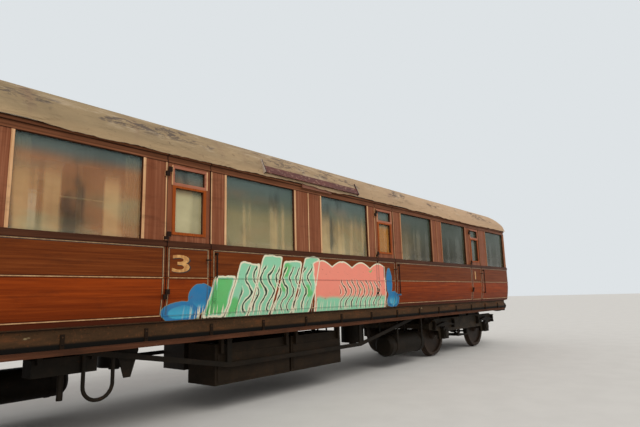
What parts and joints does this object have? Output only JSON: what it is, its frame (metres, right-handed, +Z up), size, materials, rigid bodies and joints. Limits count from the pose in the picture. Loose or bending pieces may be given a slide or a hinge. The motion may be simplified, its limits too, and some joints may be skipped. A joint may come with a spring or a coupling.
{
  "type": "bow-ended teak corridor railway coach",
  "caption": "Varnished teak side-corridor railway coach with bowed ends, domed canvas roof, hinged side doors, gangways and swivelling bogies.",
  "frame": {"origin": "on the floor under the middle of the coach, at the foot of the wheel flanges, 28 mm below the top of the rails", "axes": "+X along the coach towards the first-class end, -Y towards the corridor side, +Z up"},
  "size_m": [19.598, 2.9394, 4.118],
  "materials": {
    "teak": "varnished",
    "canvas_roof": "painted canvas, weathered",
    "destination_board": "painted",
    "roof_metal": "matt",
    "glass": "clear",
    "floorboards": "worn",
    "inner_wood": "varnished",
    "third_cloth": "plush",
    "first_cloth": "plush",
    "curtain_cloth": "woven",
    "brass": "polished",
    "frame_paint": "worn, rusty",
    "step_wood": "weathered",
    "dark_steel": "dirty",
    "box_paint": "dirty",
    "bright_steel": "greased",
    "bellows_cloth": "coated",
    "wheel_steel": "rusty",
    "bogie_paint": "dirty"
  },
  "bodies": {
    "coach_body": {"battery_boxes": "box_paint", "brake_cylinders": "dark_steel", "buffer_heads": "bright_steel", "buffer_housings": "dark_steel", "corridor_partition": "inner_wood", "couplers": "dark_steel", "cross_partitions": "inner_wood", "curtains": "curtain_cloth", "end_first": "teak", "end_third": "teak", "floor": "floorboards", "footboards": "step_wood", "gangway_bellows": "bellows_cloth", "gangway_plates": "dark_steel", "gas_tanks": "dark_steel", "roof": "canvas_roof", "roof_boards": "destination_board", "roof_ventilators": "roof_metal", "seat_frames": "inner_wood", "seats_first": "first_cloth", "seats_third": "third_cloth", "side_far": "teak", "side_near": "teak", "trussing": "dark_steel", "underframe": "frame_paint", "underframe_fittings": "dark_steel", "window_glass": "glass", "window_rails": "brass"},
    "door_near_1": {"door_near_1": "teak", "door_glass_near_1": "glass"},
    "door_near_2": {"door_near_2": "teak", "door_glass_near_2": "glass"},
    "door_near_3": {"door_near_3": "teak", "door_glass_near_3": "glass"},
    "door_near_4": {"door_near_4": "teak", "door_glass_near_4": "glass"},
    "door_far_1": {"door_far_1": "teak", "door_glass_far_1": "glass"},
    "door_far_2": {"door_far_2": "teak", "door_glass_far_2": "glass"},
    "door_far_3": {"door_far_3": "teak", "door_glass_far_3": "glass"},
    "door_far_4": {"door_far_4": "teak", "door_glass_far_4": "glass"},
    "bogie_first": {"bogie_frame_first": "bogie_paint", "axleboxes_first": "dark_steel", "axlebox_springs_first": "dark_steel", "bolster_first": "dark_steel", "bolster_springs_first": "dark_steel", "brake_gear_first": "dark_steel"},
    "bogie_third": {"bogie_frame_third": "bogie_paint", "axleboxes_third": "dark_steel", "axlebox_springs_third": "dark_steel", "bolster_third": "dark_steel", "bolster_springs_third": "dark_steel", "brake_gear_third": "dark_steel"},
    "wheelset_first_1": {"wheelset_first_1": "wheel_steel"},
    "wheelset_first_2": {"wheelset_first_2": "wheel_steel"},
    "wheelset_third_1": {"wheelset_third_1": "wheel_steel"},
    "wheelset_third_2": {"wheelset_third_2": "wheel_steel"}
  },
  "joints": [
    {"name": "door_near_1_hinge", "type": "hinge", "parent": "coach_body", "child": "door_near_1", "pos_m": [-7.24, -1.392, 2.228], "axis": [0, 0, -1], "range_deg": [0, 90]},
    {"name": "door_near_2_hinge", "type": "hinge", "parent": "coach_body", "child": "door_near_2", "pos_m": [-2.68, -1.392, 2.228], "axis": [0, 0, -1], "range_deg": [0, 90]},
    {"name": "door_near_3_hinge", "type": "hinge", "parent": "coach_body", "child": "door_near_3", "pos_m": [2.02, -1.392, 2.228], "axis": [0, 0, -1], "range_deg": [0, 90]},
    {"name": "door_near_4_hinge", "type": "hinge", "parent": "coach_body", "child": "door_near_4", "pos_m": [6.58, -1.392, 2.228], "axis": [0, 0, -1], "range_deg": [0, 90]},
    {"name": "door_far_1_hinge", "type": "hinge", "parent": "coach_body", "child": "door_far_1", "pos_m": [7.24, 1.392, 2.228], "axis": [0, 0, -1], "range_deg": [0, 90]},
    {"name": "door_far_2_hinge", "type": "hinge", "parent": "coach_body", "child": "door_far_2", "pos_m": [2.68, 1.392, 2.228], "axis": [0, 0, -1], "range_deg": [0, 90]},
    {"name": "door_far_3_hinge", "type": "hinge", "parent": "coach_body", "child": "door_far_3", "pos_m": [-2.02, 1.392, 2.228], "axis": [0, 0, -1], "range_deg": [0, 90]},
    {"name": "door_far_4_hinge", "type": "hinge", "parent": "coach_body", "child": "door_far_4", "pos_m": [-6.58, 1.392, 2.228], "axis": [0, 0, -1], "range_deg": [0, 90]},
    {"name": "bogie_first_swivel", "type": "hinge", "parent": "coach_body", "child": "bogie_first", "pos_m": [6.553, 0, 1.028], "axis": [0, 0, 1], "range_deg": [-5, 5]},
    {"name": "wheelset_first_1_spin", "type": "hinge", "parent": "bogie_first", "child": "wheelset_first_1", "pos_m": [5.2575, 0, 0.561], "axis": [0, 1, 0], "continuous": true},
    {"name": "wheelset_first_2_spin", "type": "hinge", "parent": "bogie_first", "child": "wheelset_first_2", "pos_m": [7.8485, 0, 0.561], "axis": [0, 1, 0], "continuous": true},
    {"name": "bogie_third_swivel", "type": "hinge", "parent": "coach_body", "child": "bogie_third", "pos_m": [-6.553, 0, 1.028], "axis": [0, 0, 1], "range_deg": [-5, 5]},
    {"name": "wheelset_third_1_spin", "type": "hinge", "parent": "bogie_third", "child": "wheelset_third_1", "pos_m": [-7.8485, 0, 0.561], "axis": [0, 1, 0], "continuous": true},
    {"name": "wheelset_third_2_spin", "type": "hinge", "parent": "bogie_third", "child": "wheelset_third_2", "pos_m": [-5.2575, 0, 0.561], "axis": [0, 1, 0], "continuous": true}
  ]
}
